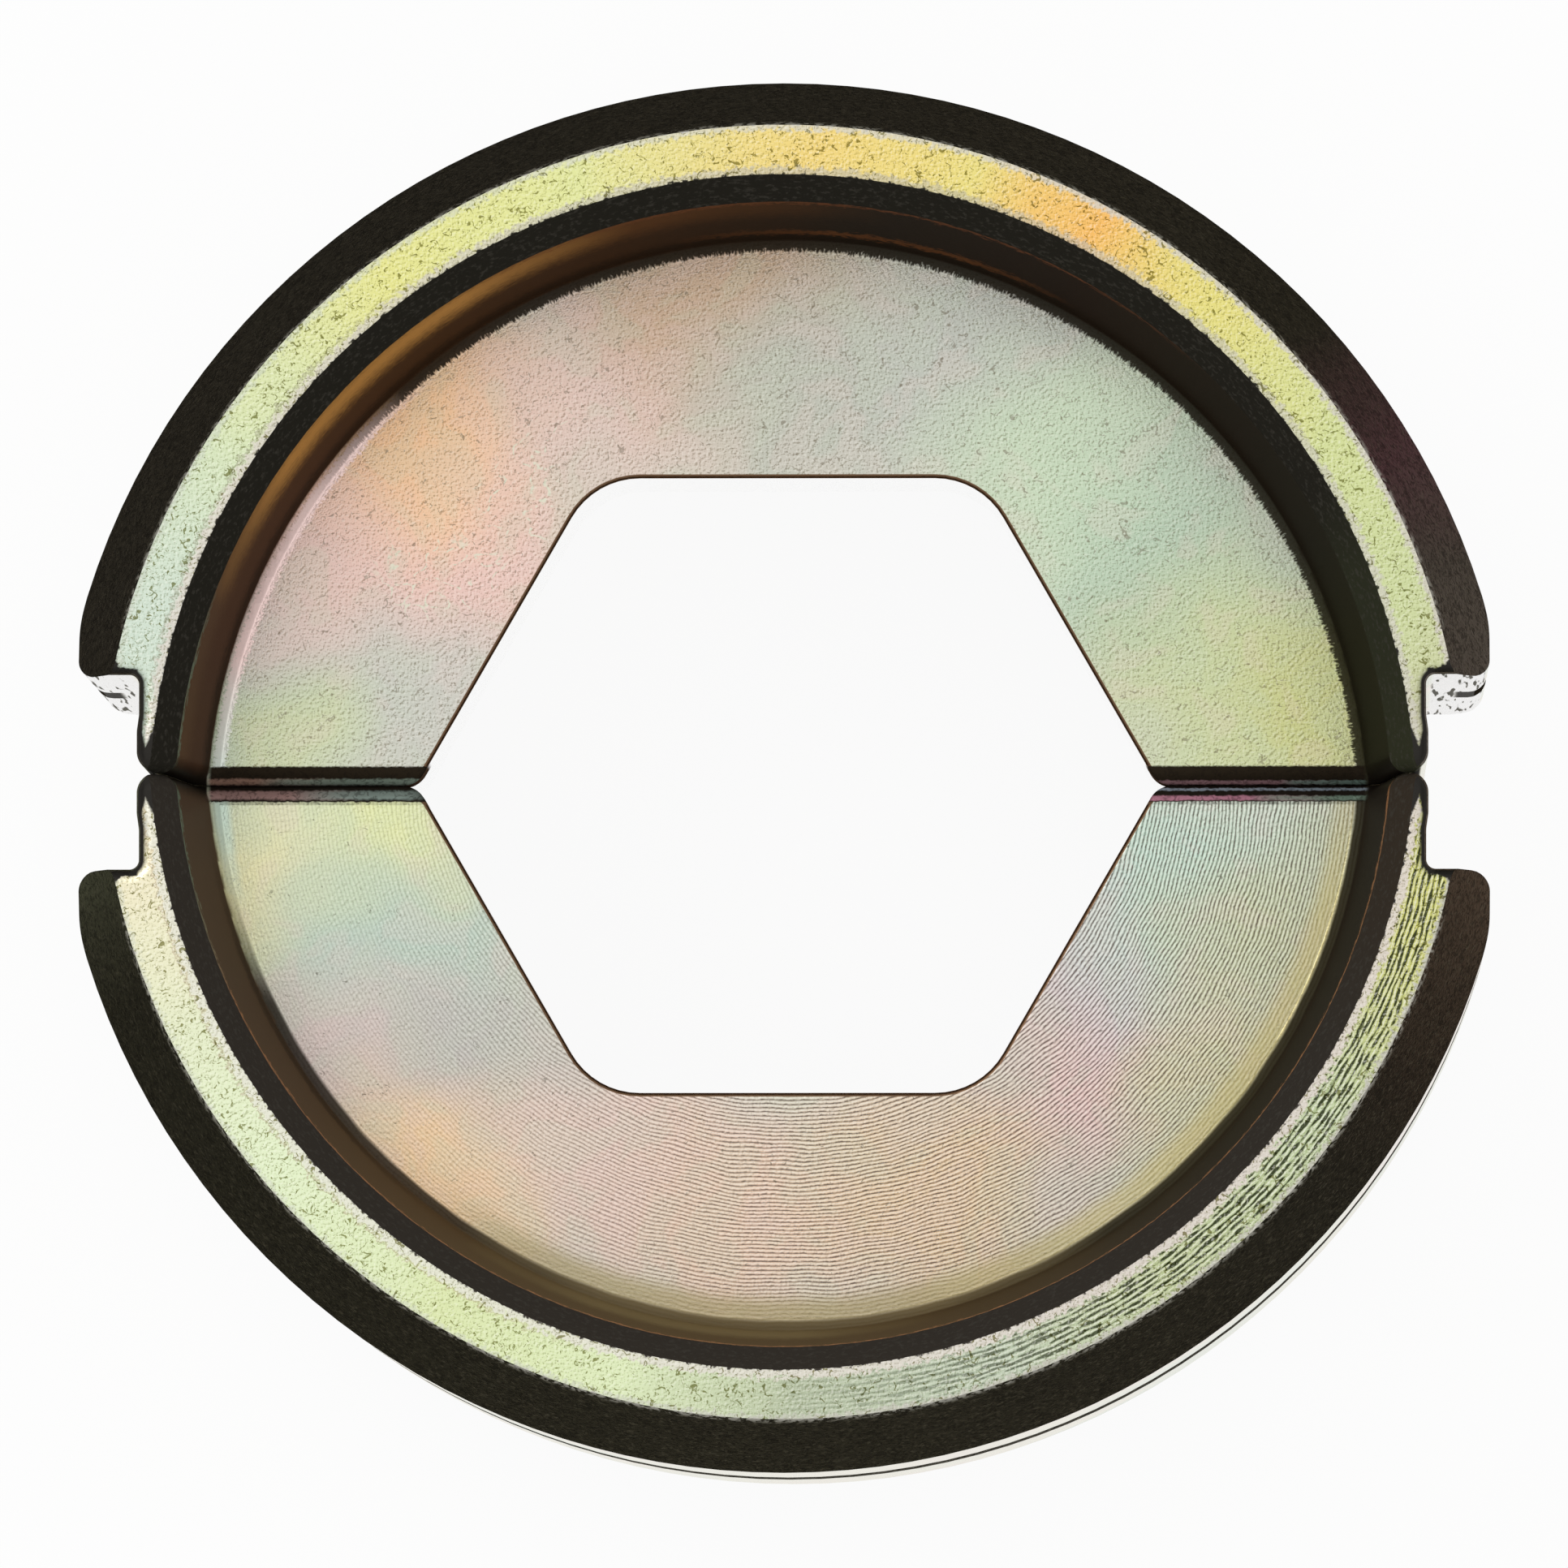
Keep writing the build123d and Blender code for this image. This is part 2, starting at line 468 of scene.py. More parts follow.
# Painted light on the wall: painted shade near its foot and on one side, painted warm reflection
# and glow across its height, and painted highlight lines along its top edge
UPPER_WALL_PAINTED_LIGHT_BANDS = (
    (4.00, 5.80, 0.90, (
        (20, 0.20, paint(42, 34, 26)),
        (60, 0.70, paint(42, 34, 26)),
    )),
    (9.60, 12.60, 1.60, (
        (80, 0.00, paint(118, 78, 46)),
        (104, 0.70, paint(118, 78, 46)),
        (122, 0.95, paint(216, 158, 84)),
        (146, 0.95, paint(216, 158, 84)),
        (162, 0.70, paint(108, 82, 60)),
    )),
    (5.60, 6.30, 0.25, (
        (58, 0.00, paint(128, 80, 46)),
        (72, 0.65, paint(128, 80, 46)),
        (86, 0.65, paint(128, 80, 46)),
        (102, 0.00, paint(128, 80, 46)),
    )),
    (11.84, 12.30, 0.09, (
        (45, 0.00, paint(136, 84, 54)),
        (60, 0.60, paint(136, 84, 54)),
        (110, 0.60, paint(136, 84, 54)),
        (126, 0.00, paint(136, 84, 54)),
        (158, 0.00, paint(130, 154, 132)),
        (168, 0.60, paint(130, 154, 132)),
    )),
)
LOWER_WALL_PAINTED_LIGHT_BANDS = (
    (4.00, 8.00, 1.40, (
        (58, 0.00, paint(150, 134, 94)),
        (72, 0.65, paint(150, 134, 94)),
        (90, 0.65, paint(150, 134, 94)),
        (104, 0.00, paint(150, 134, 94)),
    )),
    (4.00, 5.60, 0.30, (
        (10, 0.00, paint(54, 46, 38)),
        (20, 0.50, paint(54, 46, 38)),
        (40, 0.50, paint(54, 46, 38)),
        (52, 0.00, paint(54, 46, 38)),
    )),
    (5.50, 11.60, 0.60, (
        (122, 0.00, paint(48, 44, 38)),
        (138, 0.70, paint(48, 44, 38)),
    )),
    (11.86, 12.30, 0.08, (
        (14, 0.60, paint(130, 154, 132)),
        (26, 0.75, paint(196, 140, 96)),
        (170, 0.75, paint(196, 140, 96)),
    )),
)

# Strips of painted shade and painted reflection along the parting line, which follow the distance
# from it:
# from, to, softness, place x, y, reach, strength, colour
UPPER_PARTING_PAINTED_LIGHT = (
    (-0.10, 0.60, 0.03, 0.0, 0.0, 60.0, 1.00, paint(46, 39, 30)),
    (0.03, 0.21, 0.05, -17.0, 0.0, 3.6, 0.90, paint(180, 144, 126)),
    (0.03, 0.21, 0.04, -13.0, 0.0, 3.2, 0.85, paint(140, 156, 142)),
    (0.03, 0.15, 0.03, 13.5, 0.0, 4.5, 0.85, paint(164, 126, 130)),
    (0.03, 0.15, 0.03, 17.4, 0.0, 1.5, 0.80, paint(126, 150, 138)),
)
LOWER_PARTING_PAINTED_LIGHT = (
    (-0.10, 0.52, 0.02, 0.0, 0.0, 60.0, 1.00, paint(42, 36, 30)),
    (0.17, 0.44, 0.05, 17.0, 0.0, 3.6, 0.90, paint(178, 144, 138)),
    (0.17, 0.44, 0.05, 13.2, 0.0, 3.0, 0.90, paint(142, 158, 150)),
    (0.09, 0.17, 0.02, -15.0, 0.0, 7.0, 0.85, paint(164, 176, 188)),
    (0.34, 0.48, 0.03, -13.0, 0.0, 4.0, 0.90, paint(190, 130, 148)),
    (0.34, 0.48, 0.03, -17.0, 0.0, 2.0, 0.85, paint(130, 152, 134)),
)

STEEL = paint(206, 206, 190)
SIDE_YELLOW = paint(224, 216, 180)
SIDE_PINK = paint(226, 204, 190)
SIDE_GREEN = paint(200, 212, 186)
# Painted reflection: a near-white copy of the plating on the steps
STEP_PAINTED_REFLECTION = paint(232, 230, 228)
# Painted shade inside the slot
SLOT_PAINTED_SHADE = paint(190, 180, 150)
# Painted reflection: a near-white copy of the plating on the hexagon's walls, so that they mirror
# as white as the floor
HEXAGON_PAINTED_REFLECTION = paint(253, 253, 252)
BEVEL_GRAIN = paint(134, 130, 118)
BEVEL_DARK = paint(60, 58, 54)
BEVEL_SPECK = paint(82, 79, 72)
# Painted dark reflection on the rounded edges at the necks' ends
ROUNDED_EDGE_PAINTED_REFLECTION = paint(50, 48, 45)
# Painted shade on the rounded parting edge and on the wall near the parting line
PARTING_PAINTED_SHADE = paint(34, 29, 24)
# Painted shade in the slot's mouth at each step
SLOT_MOUTH_PAINTED_SHADE = paint(48, 42, 34)
# Painted shade: a dark brown outline on the rounded edge of the hexagon
HEXAGON_EDGE_PAINTED_SHADE = paint(112, 86, 64)
# Painted shade: a brown line along the top of the mouth's rounded wall
MOUTH_LINE_PAINTED_SHADE = paint(92, 70, 54)
PIT_BROWN = paint(112, 100, 80)
PIT_DARK = paint(78, 74, 56)
LINE_DARK = paint(100, 88, 80)
# Painted shade on the sides of the web's grain that turn from the light
WEB_GRAIN_PAINTED_SHADE = paint(168, 160, 140)
# Painted shade on the sides of the ring's grain that turn from the light, and the colour of its
# dark marks
RING_PITS_AND_PAINTED_SHADE = paint(150, 148, 104)
TORN_DARK = paint(54, 60, 38)
# Painted highlight: the pale glint on the grain, between turned lines, beside torn lines and
# along the outer bevel's edge
PAINTED_GLINT = paint(246, 244, 234)
PINK_CLOUD = paint(232, 206, 200)
GREEN_CLOUD = paint(198, 214, 188)
SCRATCH = paint(222, 226, 204)


def tinted(graph, places, base, tints):
    """Soft overlapping patches of colour over a base colour."""
    colour = base
    for x, y, reach, strength, tint in tints:
        share = graph.fall(places.apart(graph, x, y), 0.2 * reach, 1.15 * reach, strength)
        colour = graph.mix(share, colour, tint)
    return colour


def turned_colour(graph, places, colours):
    """A colour that changes round the half."""
    stops = [(degrees / 180, colour) for degrees, colour in colours]
    return graph.ramp(places.share, stops)[0]


def bordered(graph, places, base, measure, borders):
    """Borders of colour, each between two values of a measure, that change round the half."""
    colour = base
    for low, high, soft, stops in borders:
        shares = [(degrees / 180, paler(tint, strength)) for degrees, strength, tint in stops]
        tint, strength = graph.ramp(places.share, shares)
        share = graph.times(graph.band(measure, low, high, soft), strength)
        colour = graph.mix(share, colour, tint)
    return colour


def stripped(graph, places, base, measure, strips):
    """Strips of colour, each between two values of a measure and near one place."""
    colour = base
    for low, high, soft, x, y, reach, strength, tint in strips:
        near = graph.fall(places.apart(graph, x, y), 0.6 * reach, 1.1 * reach, strength)
        share = graph.times(graph.band(measure, low, high, soft), near)
        colour = graph.mix(share, colour, tint)
    return colour


def grain_with_painted_light(graph, places, colour, shade, dark_share, light_share):
    """Grain with painted light: painted shade where it turns from a fixed light, painted
    highlight where it faces it.
    """
    away = graph.fall(places.relief, -0.18, -0.04, dark_share)
    colour = graph.mix(away, colour, shade, "MULTIPLY")
    return graph.mix(graph.rise(places.relief, 0.05, 0.18, 0.0, light_share), colour, PAINTED_GLINT)


def clouded(graph, places, colour):
    """Faint drifting pink and green in the plating."""
    colour = graph.mix(graph.fall(places.cloud, 0.36, 0.50, 0.16), colour, PINK_CLOUD)
    return graph.mix(graph.rise(places.cloud, 0.50, 0.64, 0.0, 0.16), colour, GREEN_CLOUD)


def scratched(graph, places, colour):
    """A few short pale scratches at two places."""
    path = graph.size(graph.minus(graph.grain(places.point, 0.9, 1.0, 17.0), 0.5))
    broken = graph.rise(places.fuzz, -0.06, 0.06)
    first = graph.fall(places.apart(graph, -11.0, 7.3), 1.6, 2.6, 0.75)
    second = graph.fall(places.apart(graph, -8.0, 9.6), 1.1, 1.8, 0.75)
    share = graph.times(graph.fall(path, 0.005, 0.02), broken, graph.most(first, second))
    return graph.mix(share, colour, SCRATCH)


def cast_web(graph, places, base):
    """The upper web: fine cast grain with painted grain shading, scattered dark pits, a few
    scratches, and painted highlight and shade at its edge.
    """
    colour = clouded(graph, places, base)
    colour = grain_with_painted_light(graph, places, colour, WEB_GRAIN_PAINTED_SHADE, 0.60, 0.25)
    colour = graph.mix(graph.fall(places.squiggle, 0.32, 0.38, 0.55), colour, PIT_BROWN)
    colour = scratched(graph, places, colour)
    comb = graph.minus(graph.grain(places.combed, 13.0, 1.0, 4.0), 0.5)
    radius = graph.plus(places.radius, graph.times(comb, 0.42))
    return bordered(graph, places, colour, radius, UPPER_WEB_EDGE_PAINTED_LIGHT)


def turned_web(graph, places, base):
    """The lower web: fine turned lines about the half's centre with painted glints between them,
    painted grain shading, a few dark pits, and painted highlight and shade at its edge.
    """
    colour = clouded(graph, places, base)
    wobble = graph.grain(places.point, 0.5, 1.0, 5.0)
    uneven = graph.plus(graph.times(wobble, 0.35), graph.times(places.fuzz, 0.06))
    line = graph.wave(graph.plus(places.radius, uneven), 0.128)
    strength = graph.rise(places.x, 16.0, -2.0, 0.16, 0.90)
    worn = graph.rise(places.fuzz, -0.15, 0.10, 0.60, 1.0)
    dark_line = graph.times(graph.rise(line, 0.0, 0.9), strength, worn)
    colour = graph.mix(dark_line, colour, LINE_DARK)
    # Painted highlight: pale glints between the dark turned lines
    light_line = graph.times(graph.fall(line, -0.95, -0.2), strength, 0.50)
    colour = graph.mix(light_line, colour, PAINTED_GLINT)
    colour = grain_with_painted_light(graph, places, colour, WEB_GRAIN_PAINTED_SHADE, 0.28, 0.16)
    colour = graph.mix(graph.fall(places.squiggle, 0.26, 0.32, 0.60), colour, PIT_DARK)
    radius = graph.plus(places.radius, graph.times(graph.minus(wobble, 0.5), 0.1))
    return bordered(graph, places, colour, radius, LOWER_WEB_EDGE_PAINTED_LIGHT)


def torn(graph, places, colour, radius):
    """Torn turning lines on the part of the ring towards -x, with painted glints beside them."""
    sway = graph.grain(places.streaks, 2.0, 1.0, 8.0)
    line = graph.wave(graph.plus(places.radius, graph.times(sway, 0.22)), 0.168)
    broken = graph.grain(places.streaks, 5.5, 1.0, 3.0)
    cut = graph.rise(graph.plus(line, graph.times(graph.minus(broken, 0.5), 5.0)), -0.2, 0.7)
    inside = graph.band(radius, FACE_INNER_RADIUS + 0.30, FACE_OUTER_RADIUS - 0.20, 0.06)
    share = graph.times(graph.fall(places.x, -12.0, 3.0), inside)
    # Painted highlight beside the torn lines
    colour = graph.mix(graph.times(graph.fall(line, -1.0, -0.4), share, 0.45), colour, PAINTED_GLINT)
    return graph.mix(graph.times(cut, share, 0.95), colour, TORN_DARK)


def ring_surface(graph, places, colours, borders, torn_side):
    """The rim's flat face: rough skin with painted grain shading, between pale uneven borders of
    painted edge highlight, torn on one side.
    """
    colour = turned_colour(graph, places, colours)
    radius = graph.plus(places.radius, graph.times(places.fuzz, 0.7))
    colour = bordered(graph, places, colour, radius, borders)
    if torn_side:
        colour = torn(graph, places, colour, radius)
    colour = grain_with_painted_light(graph, places, colour, RING_PITS_AND_PAINTED_SHADE, 0.45, 0.30)
    marks = graph.fall(places.squiggle, 0.36, 0.40, 0.90)
    return graph.mix(marks, colour, RING_PITS_AND_PAINTED_SHADE, "MULTIPLY")


def parting_surface(graph, places, base, strips):
    """The rounded edge of the web at the parting line: painted shade, with strips of painted
    reflection in colour.
    """
    depth = graph.plus(places.y, graph.times(places.fuzz, 0.12))
    colour = stripped(graph, places, base, depth, strips)
    return graph.mix(graph.rise(places.squiggle, 0.50, 0.62, 0.0, 0.45), colour, PARTING_PAINTED_SHADE)


def side_surface(graph, places, regions):
    """The outside of the rim and what else stands upright: slot, steps and hexagon. The steps
    carry a pale painted reflection, the slot painted shade and the hexagon's walls a white
    painted reflection.
    """
    patch = graph.plus(graph.grain(places.point, 0.12, 1.0, 41.0), graph.times(places.fuzz, 0.12))
    colour = graph.mix(graph.fall(patch, 0.30, 0.54, 0.80), SIDE_YELLOW, SIDE_PINK)
    colour = graph.mix(graph.rise(patch, 0.46, 0.70, 0.0, 0.80), colour, SIDE_GREEN)
    colour = graph.mix(graph.fall(places.squiggle, 0.30, 0.36, 0.45), colour, PIT_DARK)
    colour = graph.mix(regions.step, colour, STEP_PAINTED_REFLECTION)
    colour = graph.mix(regions.slot, colour, SLOT_PAINTED_SHADE, "MULTIPLY")
    return graph.mix(regions.hexagon, colour, HEXAGON_PAINTED_REFLECTION)


def wall_painted_light(graph, places, colours, borders):
    """The wall that rises from the web: painted shade with bands of painted warm reflection and
    highlight, and deeper painted shade towards the parting line.
    """
    uneven = graph.plus(places.fuzz, graph.minus(places.speck, 0.5))
    height = graph.plus(places.height, graph.times(uneven, 1.4))
    colour = turned_colour(graph, places, colours)
    colour = bordered(graph, places, colour, height, borders)
    return graph.mix(graph.fall(places.y, 0.1, 0.7), colour, PARTING_PAINTED_SHADE)


def inner_bevel_painted_reflection(graph, places, colours):
    """The narrow bevel inside the ring: its near-black is a painted dark reflection, with lighter
    specks.
    """
    colour = turned_colour(graph, places, colours)
    return graph.mix(graph.rise(places.fuzz, 0.0, 0.2, 0.0, 0.5), colour, BEVEL_SPECK)


def outer_bevel_painted_reflection(graph, places, colours):
    """The wide bevel outside the ring: its dark grey is a painted dark reflection, with lighter
    grain and painted glints along the edge that they share.
    """
    colour = turned_colour(graph, places, colours)
    colour = graph.mix(graph.rise(places.fuzz, 0.0, 0.2, 0.0, 0.30), colour, BEVEL_GRAIN)
    colour = graph.mix(graph.fall(places.squiggle, 0.38, 0.55, 0.40), colour, BEVEL_DARK)
    glints = graph.times(
        graph.fall(places.radius, FACE_OUTER_RADIUS, FACE_OUTER_RADIUS + 0.16),
        graph.rise(places.fuzz, -0.08, 0.1, 0.0, 0.5),
        graph.rise(places.y, SHOULDER_Y + 1.3, SHOULDER_Y + 1.7),
    )
    return graph.mix(glints, colour, PAINTED_GLINT)


def dark_surface(graph, places, tints, strips):
    """The wall and bevels of the rim, and the rounded edges of web, hexagon and necks, in painted
    shade and painted dark reflection.
    """
    colour = wall_painted_light(graph, places, tints["wall"], strips["wall"])
    on_bevel = graph.rise(places.height, *WALL_TOP_HEIGHTS)
    colour = graph.mix(on_bevel, colour, inner_bevel_painted_reflection(graph, places, tints["inner"]))
    beyond_face = graph.rise(places.radius, *FACE_START_RADII)
    colour = graph.mix(beyond_face, colour, outer_bevel_painted_reflection(graph, places, tints["bevel"]))
    rounded = graph.times(
        graph.rise(places.height, *ROUNDED_HEIGHTS),
        graph.fall(places.y, SHOULDER_Y + 1.5, SHOULDER_Y + 1.7),
        graph.rise(places.flatness, *ROUNDED_SLOPES),
    )
    colour = graph.mix(rounded, colour, ROUNDED_EDGE_PAINTED_REFLECTION)
    return graph.mix(graph.fall(places.radius, *HEXAGON_EDGE_RADII), colour, HEXAGON_EDGE_PAINTED_SHADE)


def face_corner(graph, places, uneven_y):
    """The rounded lower corner of the ring above each step."""
    out = graph.most(graph.minus(places.radius, FACE_OUTER_RADIUS - 0.5), 0.0)
    down = graph.most(graph.minus(SHOULDER_Y + 0.8, uneven_y), 0.0)
    corner = graph.plus(graph.times(out, out), graph.times(down, down))
    past_neck = graph.rise(graph.size(places.x), NECK_X - 0.05, NECK_X + 0.05)
    return graph.times(graph.rise(corner, 0.32, 0.42), past_neck)


def before_neck_tip(graph, places, uneven_y):
    """What lies above the rounded tip of each neck."""
    beside = graph.size(graph.minus(places.radius, NECK_TIP_RADIUS))
    beside = graph.math("MINIMUM", beside, 0.6)
    above = graph.minus(uneven_y, graph.times(beside, 3.0))
    return graph.rise(above, NECK_TIP_ROUND - 0.15, NECK_TIP_ROUND + 0.1)


def ring_region(graph, places):
    """The rim's flat face, with uneven edges."""
    radius = graph.plus(places.radius, graph.times(places.fuzz, 0.45))
    uneven_y = graph.plus(places.y, graph.times(places.fuzz, 0.4))
    return graph.times(
        graph.band(radius, FACE_INNER_RADIUS, FACE_OUTER_RADIUS + 0.02, 0.04),
        graph.rise(places.height, *FACE_HEIGHTS),
        graph.rise(places.flatness, *FACE_SLOPES),
        before_neck_tip(graph, places, uneven_y),
        graph.minus(1.0, face_corner(graph, places, uneven_y)),
    )


class Regions:
    """Which surface of the half a point is on. Each region is a socket from 0 to 1."""

    def __init__(self, graph, places):
        beside = graph.size(places.x)
        self.ring = ring_region(graph, places)
        self.web = graph.times(
            graph.fall(places.height, *WEB_HEIGHTS),
            graph.fall(places.radius, *WALL_FOOT_RADII),
            graph.most(
                graph.rise(places.flatness, *WEB_SLOPES),
                graph.rise(places.radius, *WEB_EDGE_RADII),
            ),
        )
        self.root = graph.times(self.web, graph.rise(places.radius, *WALL_ROOT_RADII))
        self.wall = graph.times(
            graph.rise(places.radius, *WALL_ROOT_RADII),
            graph.fall(places.radius, *FACE_START_RADII),
            graph.rise(places.y, *AT_PARTING_Y),
            graph.minus(1.0, self.ring),
        )
        self.dark = graph.most(graph.rise(places.flatness, *STEEP_SLOPES), self.wall)
        self.slot = graph.times(
            graph.fall(places.height, *SLOT_HEIGHTS),
            graph.rise(places.radius, *SLOT_RADII),
        )
        near_step = graph.fall(places.y, SHOULDER_Y + 0.5, SHOULDER_Y + 1.5)
        self.slot_mouth = graph.times(self.slot, near_step)
        self.hexagon = graph.times(
            graph.fall(places.flatness, *STEEP_SLOPES),
            graph.fall(places.radius, *HEXAGON_SIDE_RADII),
            graph.most(
                graph.fall(beside, MOUTH_X - 0.1, MOUTH_X),
                graph.rise(places.y, *AT_PARTING_Y),
            ),
        )
        self.mouth_line = graph.times(
            self.hexagon,
            graph.fall(places.y, *MOUTH_LINE_Y),
            graph.rise(places.lift, *MOUTH_LINE_HEIGHTS),
        )
        self.parting = graph.times(
            graph.fall(places.height, *PARTING_HEIGHTS),
            graph.fall(places.radius, *PARTING_END_RADII),
            graph.fall(places.y, *PARTING_EDGE_Y),
            graph.minus(1.0, self.hexagon),
        )
        self.step = graph.times(
            graph.band(places.y, SHOULDER_Y - 0.15, SHOULDER_Y + 0.25, 0.03),
            graph.rise(beside, NECK_X + 0.1, NECK_X + 0.3),
            graph.fall(places.flatness, *STEP_SLOPES),
        )
        upright_grain = graph.vector("MULTIPLY", places.point, (1.0, 1.0, 0.05))
        speckled = graph.fall(graph.grain(upright_grain, 5.0, 1.0, 3.0), 0.36, 0.44)
        self.step_specks = graph.times(speckled, self.step, graph.minus(1.0, self.slot))


def shine(graph, places, regions):
    """Shine and bumps. Dark places keep a dim edge reflection, and side walls are smoother."""
    bright = graph.most(regions.web, regions.ring)
    dim = graph.times(graph.most(regions.dark, regions.slot), graph.minus(1.0, bright))
    painted = graph.most(
        regions.wall, regions.root, regions.parting, regions.slot_mouth, regions.step_specks
    )
    metallic = graph.blend(painted, 1.0, PAINTED_METALLIC)
    upright = graph.fall(places.flatness, *UPRIGHT_SLOPES)
    upright = graph.times(upright, graph.minus(1.0, regions.wall))
    level_roughness = graph.blend(dim, BRIGHT_ROUGHNESS, DIM_ROUGHNESS)
    upright_roughness = graph.blend(regions.hexagon, SIDE_ROUGHNESS, HEXAGON_ROUGHNESS)
    sloping = graph.band(places.flatness, *BEVEL_SLOPES, 0.03)
    edge = graph.mix(dim, BRIGHT_EDGE, graph.mix(sloping, DIM_EDGE, NO_EDGE))
    bump_inputs = {"Strength": BUMP_STRENGTH, "Distance": BUMP_DISTANCE, "Height": places.bumps}
    bump = graph.add("ShaderNodeBump", bump_inputs)
    return {
        "Metallic": graph.times(metallic, graph.minus(1.0, regions.mouth_line)),
        "Roughness": graph.blend(upright, level_roughness, upright_roughness),
        "Specular IOR Level": 0.0,
        "Specular Tint": edge,
        "Normal": bump.outputs[0],
    }


def plated_colour(graph, places, regions, web_finish, tints, strips, torn_side):
    """The colour of a half: each surface's own, with its painted shade, reflection and highlight,
    laid over those before it.
    """
    side = side_surface(graph, places, regions)
    dark = dark_surface(graph, places, tints, strips)
    web = web_finish(graph, places, tinted(graph, places, STEEL, tints["web"]))
    ring = ring_surface(graph, places, tints["ring"], strips["ring"], torn_side)
    colour = graph.mix(regions.dark, side, dark)
    colour = graph.mix(regions.slot_mouth, colour, SLOT_MOUTH_PAINTED_SHADE)
    colour = graph.mix(regions.step_specks, colour, PIT_DARK)
    colour = graph.mix(regions.web, colour, web)
    colour = graph.mix(regions.ring, colour, ring)
    parting = parting_surface(graph, places, colour, strips["parting"])
    colour = graph.mix(regions.parting, colour, parting)
    return graph.mix(regions.mouth_line, colour, MOUTH_LINE_PAINTED_SHADE)


def plating(name, turn, web_finish, tints, strips, torn_side):
    """The material of one half. The turn is 1 for the upper half and -1 for the lower."""
    material = bpy.data.materials.new(name)
    material.use_nodes = True
    graph = Graph(material.node_tree)
    places = Places(graph, turn)
    regions = Regions(graph, places)
    inputs = shine(graph, places, regions)
    inputs["Base Color"] = plated_colour(
        graph, places, regions, web_finish, tints, strips, torn_side
    )
    shader = graph.add("ShaderNodeBsdfPrincipled", inputs)
    graph.add("ShaderNodeOutputMaterial", {"Surface": shader.outputs[0]})
    return material


def dress(node, material):
    """Gives a CAD node its material."""
    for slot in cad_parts[node].material_slots:
        slot.material = material


def make_floor():
    """A wide pale floor that keeps the die's shadow and reads white behind it."""
    mesh = bpy.data.meshes.new("floor")
    signs = ((-1, -1), (1, -1), (1, 1), (-1, 1))
    corners = [(x * FLOOR_HALF, y * FLOOR_HALF, 0) for x, y in signs]
    mesh.from_pydata(corners, [], [(0, 1, 2, 3)])
    floor = bpy.data.objects.new("floor", mesh)
    bpy.context.scene.collection.objects.link(floor)
    material = bpy.data.materials.new("pale_floor")
    material.use_nodes = True
    graph = Graph(material.node_tree)
    path = graph.add("ShaderNodeLightPath").outputs
    seen = graph.most(path["Is Camera Ray"], path["Is Glossy Ray"], path["Is Transmission Ray"])
    lit = graph.add("ShaderNodeBsdfDiffuse", {"Color": FLOOR_GREY}).outputs[0]
    white = graph.add("ShaderNodeEmission", {"Color": WHITE, "Strength": 1.0}).outputs[0]
    inputs = {0: graph.times(seen, FLOOR_WHITENESS), 1: lit, 2: white}
    shader = graph.add("ShaderNodeMixShader", inputs)
    graph.add("ShaderNodeOutputMaterial", {"Surface": shader.outputs[0]})
    mesh.materials.append(material)


def make_world():
    """Pale studio light from all round, brightest overhead like a wide soft box."""
    world = bpy.data.worlds.new("studio")
    bpy.context.scene.world = world
    world.use_nodes = True
    graph = Graph(world.node_tree)
    direction = graph.add("ShaderNodeTexCoord").outputs["Generated"]
    up = graph.split(direction)[2]
    level = graph.rise(up, 0.1, 0.95, 0.50, 1.0)
    background = graph.add("ShaderNodeBackground", {"Color": WHITE, "Strength": level})
    graph.add("ShaderNodeOutputWorld", {"Surface": background.outputs[0]})


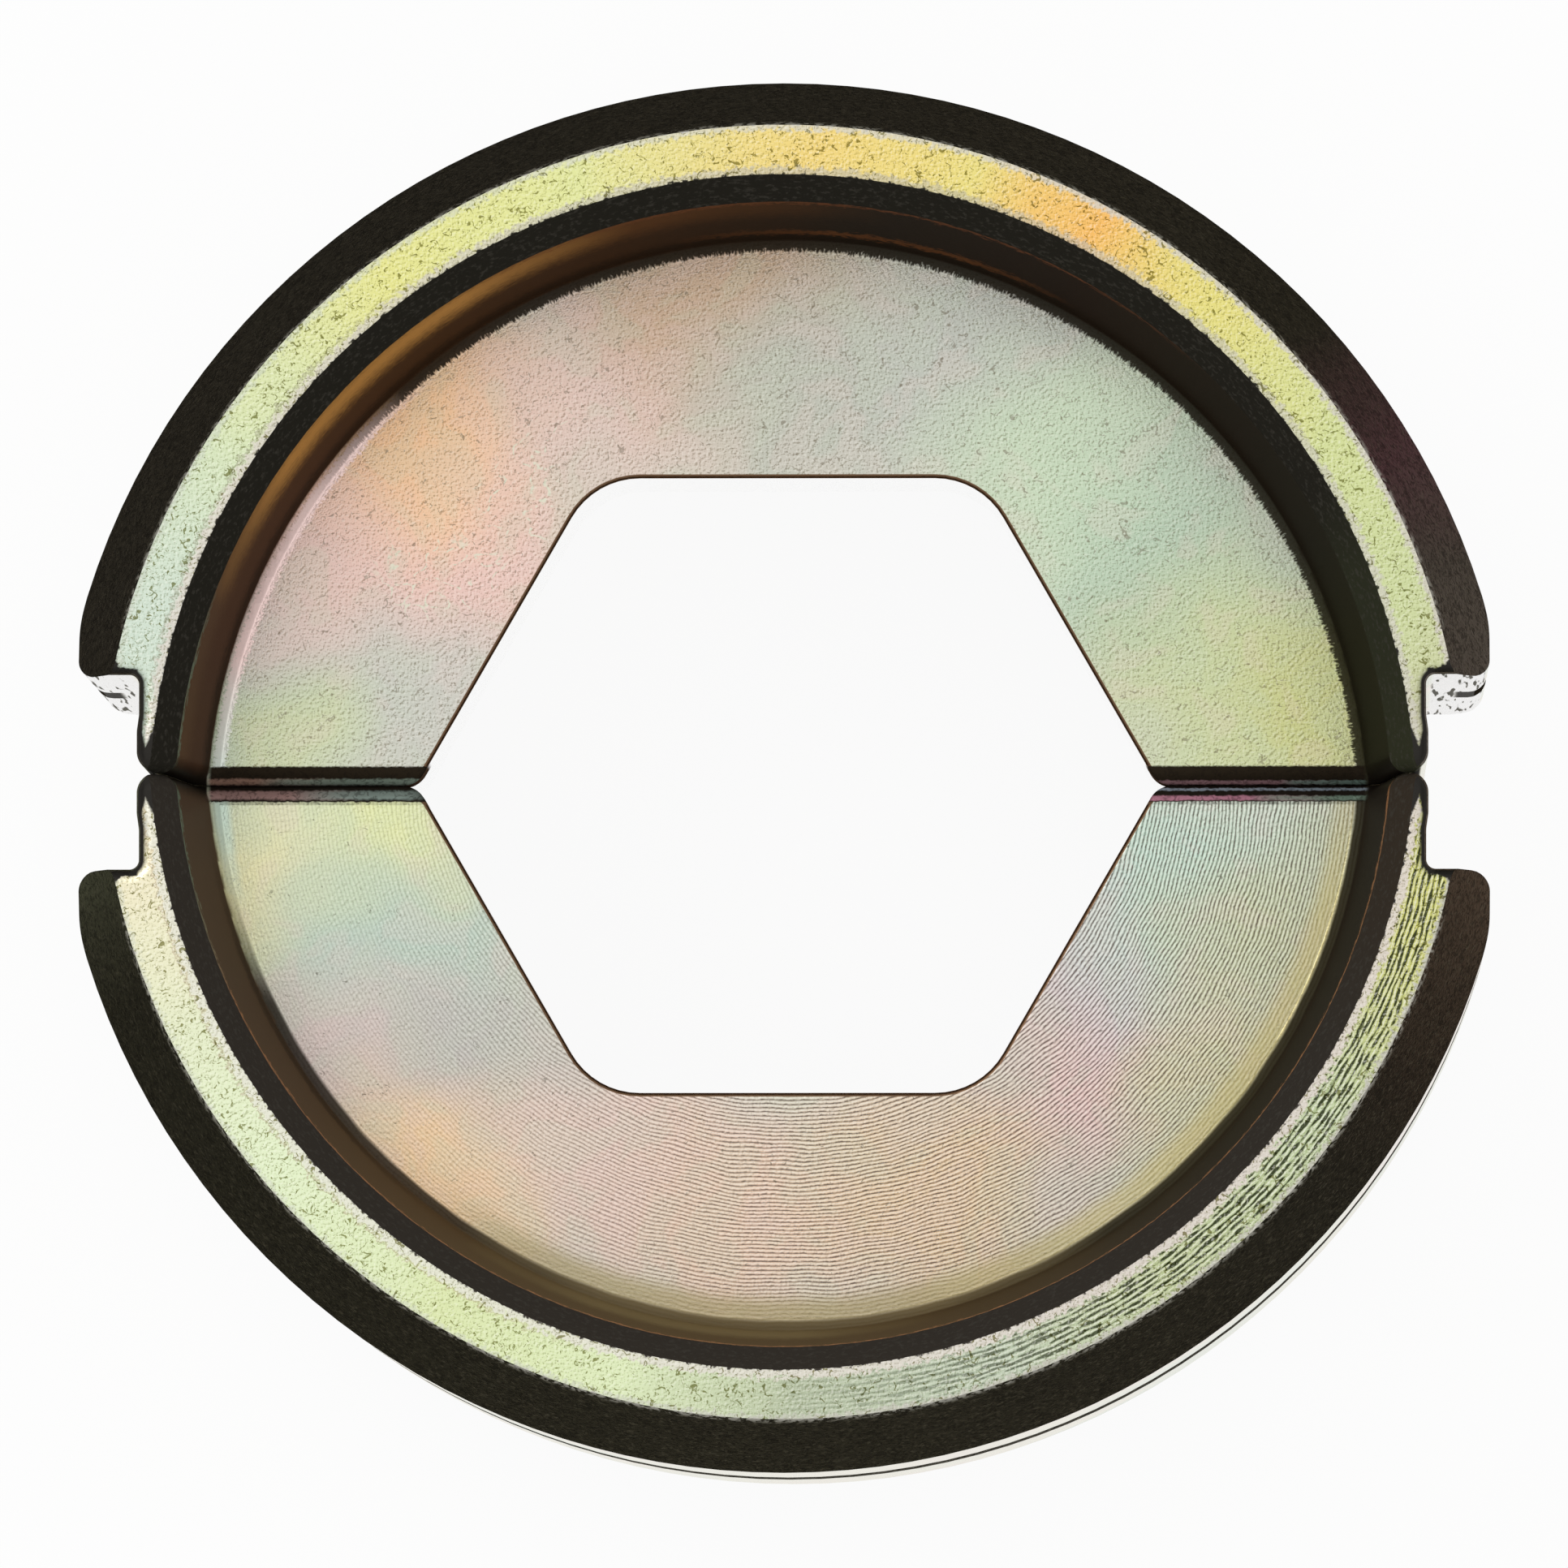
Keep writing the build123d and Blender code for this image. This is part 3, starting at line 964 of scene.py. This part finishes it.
def make_lamp():
    """A square soft lamp aimed at the middle of the die."""
    lamp = bpy.data.lights.new("key_lamp", "AREA")
    lamp.shape = "SQUARE"
    lamp.size = LAMP_SIZE * MM
    lamp.energy = LAMP_POWER
    holder = bpy.data.objects.new("key_lamp", lamp)
    holder.location = LAMP_PLACE * MM
    aim = Vector((0, 0, MIDDLE_HEIGHT)) * MM - holder.location
    holder.rotation_euler = aim.to_track_quat("-Z", "Y").to_euler()
    bpy.context.scene.collection.objects.link(holder)


def make_camera():
    """Looks down on the die, with the top of the picture towards +Y."""
    camera = bpy.data.cameras.new("camera")
    camera.lens = CAMERA_LENS
    camera.sensor_width = CAMERA_SENSOR
    camera.clip_start = 0.01
    camera.clip_end = 20.0
    holder = bpy.data.objects.new("camera", camera)
    forward = (CAMERA_AIM - CAMERA_PLACE).normalized()
    right = forward.cross(Vector((0, 1, 0))).normalized()
    up = right.cross(forward)
    turn = Matrix((right, up, -forward)).transposed().to_4x4()
    holder.matrix_world = Matrix.Translation(CAMERA_PLACE * MM) @ turn
    bpy.context.scene.collection.objects.link(holder)
    bpy.context.scene.camera = holder


UPPER_TINTS = {
    "web": UPPER_WEB_TINTS,
    "ring": UPPER_RING_COLOURS,
    "wall": UPPER_WALL_PAINTED_SHADE,
    "inner": UPPER_INNER_BEVEL_PAINTED_REFLECTION,
    "bevel": UPPER_OUTER_BEVEL_PAINTED_REFLECTION,
}
LOWER_TINTS = {
    "web": LOWER_WEB_TINTS,
    "ring": LOWER_RING_COLOURS,
    "wall": LOWER_WALL_PAINTED_SHADE,
    "inner": LOWER_INNER_BEVEL_PAINTED_REFLECTION,
    "bevel": LOWER_OUTER_BEVEL_PAINTED_REFLECTION,
}
UPPER_STRIPS = {
    "ring": UPPER_RING_EDGE_PAINTED_LIGHT,
    "wall": UPPER_WALL_PAINTED_LIGHT_BANDS,
    "parting": UPPER_PARTING_PAINTED_LIGHT,
}
LOWER_STRIPS = {
    "ring": LOWER_RING_EDGE_PAINTED_LIGHT,
    "wall": LOWER_WALL_PAINTED_LIGHT_BANDS,
    "parting": LOWER_PARTING_PAINTED_LIGHT,
}

upper = plating("upper_plating", 1, cast_web, UPPER_TINTS, UPPER_STRIPS, False)
lower = plating("lower_plating", -1, turned_web, LOWER_TINTS, LOWER_STRIPS, True)
dress("upper_die_half", upper)
dress("lower_die_half", lower)
make_floor()
make_world()
make_lamp()
make_camera()
bpy.context.scene.view_settings.view_transform = "Standard"
